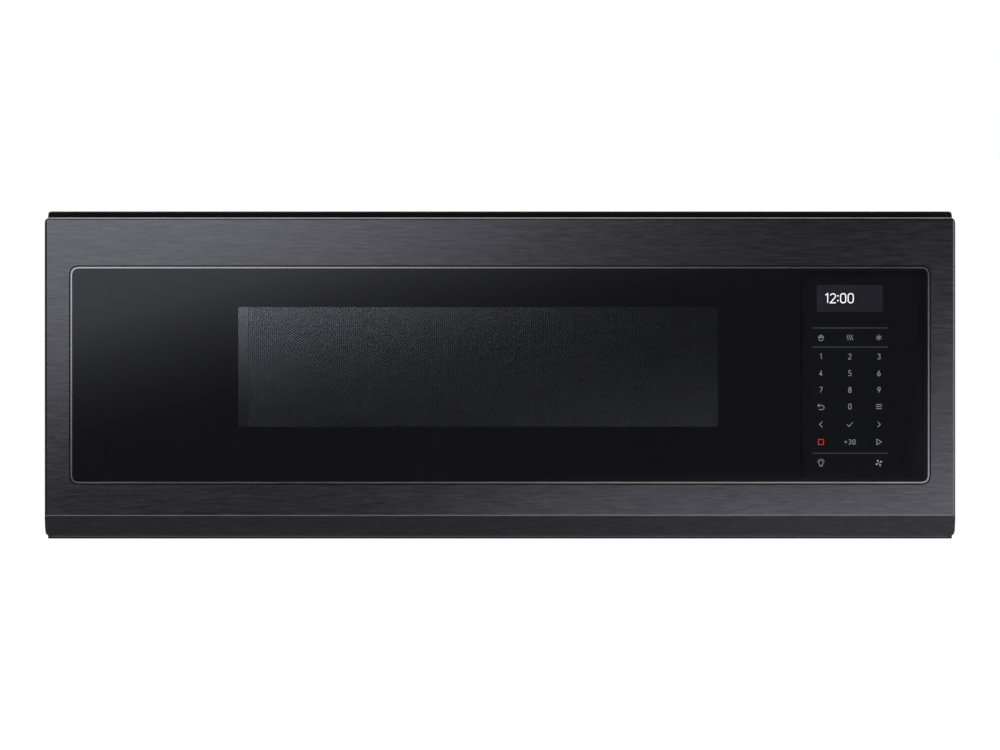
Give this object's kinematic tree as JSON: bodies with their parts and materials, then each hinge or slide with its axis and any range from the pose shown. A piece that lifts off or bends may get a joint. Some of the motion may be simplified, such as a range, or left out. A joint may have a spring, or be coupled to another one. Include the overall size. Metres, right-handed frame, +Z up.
{
  "type": "over the range microwave",
  "caption": "Over the range microwave oven with a full-width black glass door, touch controls in the glass, hidden hand pocket, turntable and extractor fan",
  "frame": {"origin": "middle of the wall plate's back face, which lies on the wall", "axes": "+X to the right seen from the front, +Y into the wall, +Z up; the door faces -Y"},
  "size_m": [0.759, 0.4661, 0.2753],
  "materials": {
    "black_steel": "black stainless sheet brushed lengthwise",
    "bright_rim": "bright rim, satin polish",
    "black_glass": "black glass with a clear window",
    "clear_glass": "clear tempered glass",
    "black_paint": "black powder coat, fine texture",
    "cavity_enamel": "grey epoxy paint",
    "zinc_steel": "zinc-coated sheet",
    "aluminium": "bare rolled aluminium",
    "black_plastic": "moulded, matt",
    "pale_nylon": "moulded, natural",
    "circuit_board": "solder mask",
    "charcoal": "pleated carbon felt",
    "mica": "pressed mica sheet",
    "rubber": "moulded",
    "spring_steel": "bare wire and ground bar",
    "iron_core": "varnished laminations",
    "copper": "enamelled copper wire",
    "bulb_glass": "frosted bulb and white reflector"
  },
  "bodies": {
    "cabinet": {"mounting_plate": "zinc_steel", "back_panel": "zinc_steel", "outer_case": "black_paint", "base_pan": "black_paint", "front_plate": "black_paint", "oven_cavity": "cavity_enamel", "cord_gland": "rubber", "hinge_bracket_upper": "zinc_steel", "hinge_bracket_lower": "zinc_steel", "vent_grille": "black_plastic", "charcoal_filter": "charcoal", "top_duct": "zinc_steel", "blower_housing": "zinc_steel", "blower_motor": "zinc_steel", "lamp_lens_left": "clear_glass", "lamp_lens_right": "clear_glass", "cooktop_lamp_left": "bulb_glass", "cooktop_lamp_right": "bulb_glass", "turntable_motor": "zinc_steel", "waveguide": "zinc_steel", "waveguide_cover": "mica", "magnetron": "aluminium", "transformer_core": "iron_core", "transformer_windings": "copper", "high_voltage_capacitor": "aluminium", "fan_baffle": "zinc_steel", "cooling_fan_motor": "zinc_steel", "main_board": "circuit_board", "noise_filter_board": "circuit_board", "oven_lamp": "bulb_glass", "interlock_bracket": "zinc_steel", "micro_switch_1": "black_plastic", "micro_switch_2": "black_plastic", "micro_switch_3": "black_plastic"},
    "door": {"door_skin": "black_steel", "glass_rim": "bright_rim", "door_glass": "black_glass", "door_inner_frame": "black_plastic", "window_screen": "zinc_steel", "display_module": "black_plastic", "touch_board": "circuit_board", "door_panel": "black_paint", "choke_cover": "black_plastic", "inner_window": "clear_glass", "control_cover": "black_plastic", "pocket_liner": "black_plastic", "latch_spring": "spring_steel"},
    "latch": {"latch_hooks": "black_plastic"},
    "tray": {"turntable_coupler": "pale_nylon", "glass_tray": "clear_glass"},
    "ring": {"roller_ring": "pale_nylon"},
    "roller_1": {"roller_wheel_1": "pale_nylon"},
    "roller_2": {"roller_wheel_2": "pale_nylon"},
    "roller_3": {"roller_wheel_3": "pale_nylon"},
    "blower": {"blower_shaft": "spring_steel", "blower_wheel_left": "aluminium", "blower_wheel_right": "aluminium"},
    "cooling_fan": {"cooling_fan_blade": "pale_nylon"},
    "filter_left": {"grease_filter_left": "aluminium"},
    "filter_right": {"grease_filter_right": "aluminium"}
  },
  "joints": [
    {"name": "door_hinge", "type": "hinge", "parent": "cabinet", "child": "door", "pos_m": [-0.3715, -0.4353, 0], "axis": [0, 0, -1], "range_deg": [0, 100]},
    {"name": "latch_slide", "type": "slide", "parent": "door", "child": "latch", "axis": [0, 0, 1], "range_m": [0, 0.004], "stiffness_N_per_m": 600, "springref_m": -0.006, "deforming": ["latch_spring"]},
    {"name": "tray_spin", "type": "hinge", "parent": "cabinet", "child": "tray", "pos_m": [-0.0184, -0.2558, 0], "axis": [0, 0, 1], "continuous": true},
    {"name": "ring_spin", "type": "hinge", "parent": "cabinet", "child": "ring", "pos_m": [-0.0184, -0.2558, 0], "axis": [0, 0, 1], "continuous": true},
    {"name": "roller_1_spin", "type": "hinge", "parent": "ring", "child": "roller_1", "pos_m": [0.0746, -0.2558, -0.0717], "axis": [1, 0, 0], "continuous": true},
    {"name": "roller_2_spin", "type": "hinge", "parent": "ring", "child": "roller_2", "pos_m": [-0.0649, -0.17526, -0.0717], "axis": [-0.5, 0.866, 0], "continuous": true},
    {"name": "roller_3_spin", "type": "hinge", "parent": "ring", "child": "roller_3", "pos_m": [-0.0649, -0.33634, -0.0717], "axis": [-0.5, -0.866, 0], "continuous": true},
    {"name": "blower_spin", "type": "hinge", "parent": "cabinet", "child": "blower", "pos_m": [0, -0.04725, 0.072], "axis": [1, 0, 0], "continuous": true},
    {"name": "cooling_fan_spin", "type": "hinge", "parent": "cabinet", "child": "cooling_fan", "pos_m": [0.32185, -0.098, -0.03], "axis": [0, 1, 0], "continuous": true},
    {"name": "filter_left_drop", "type": "hinge", "parent": "cabinet", "child": "filter_left", "pos_m": [-0.165, -0.1245, -0.133], "axis": [1, 0, 0], "range_deg": [0, 75]},
    {"name": "filter_right_drop", "type": "hinge", "parent": "cabinet", "child": "filter_right", "pos_m": [0.165, -0.1245, -0.133], "axis": [1, 0, 0], "range_deg": [0, 75]}
  ],
  "couplings": [
    {"joint": "ring_spin", "follows": "tray_spin", "ratio": 0.5},
    {"joint": "roller_1_spin", "follows": "tray_spin", "ratio": -5.8125},
    {"joint": "roller_2_spin", "follows": "tray_spin", "ratio": -5.8125},
    {"joint": "roller_3_spin", "follows": "tray_spin", "ratio": -5.8125}
  ]
}
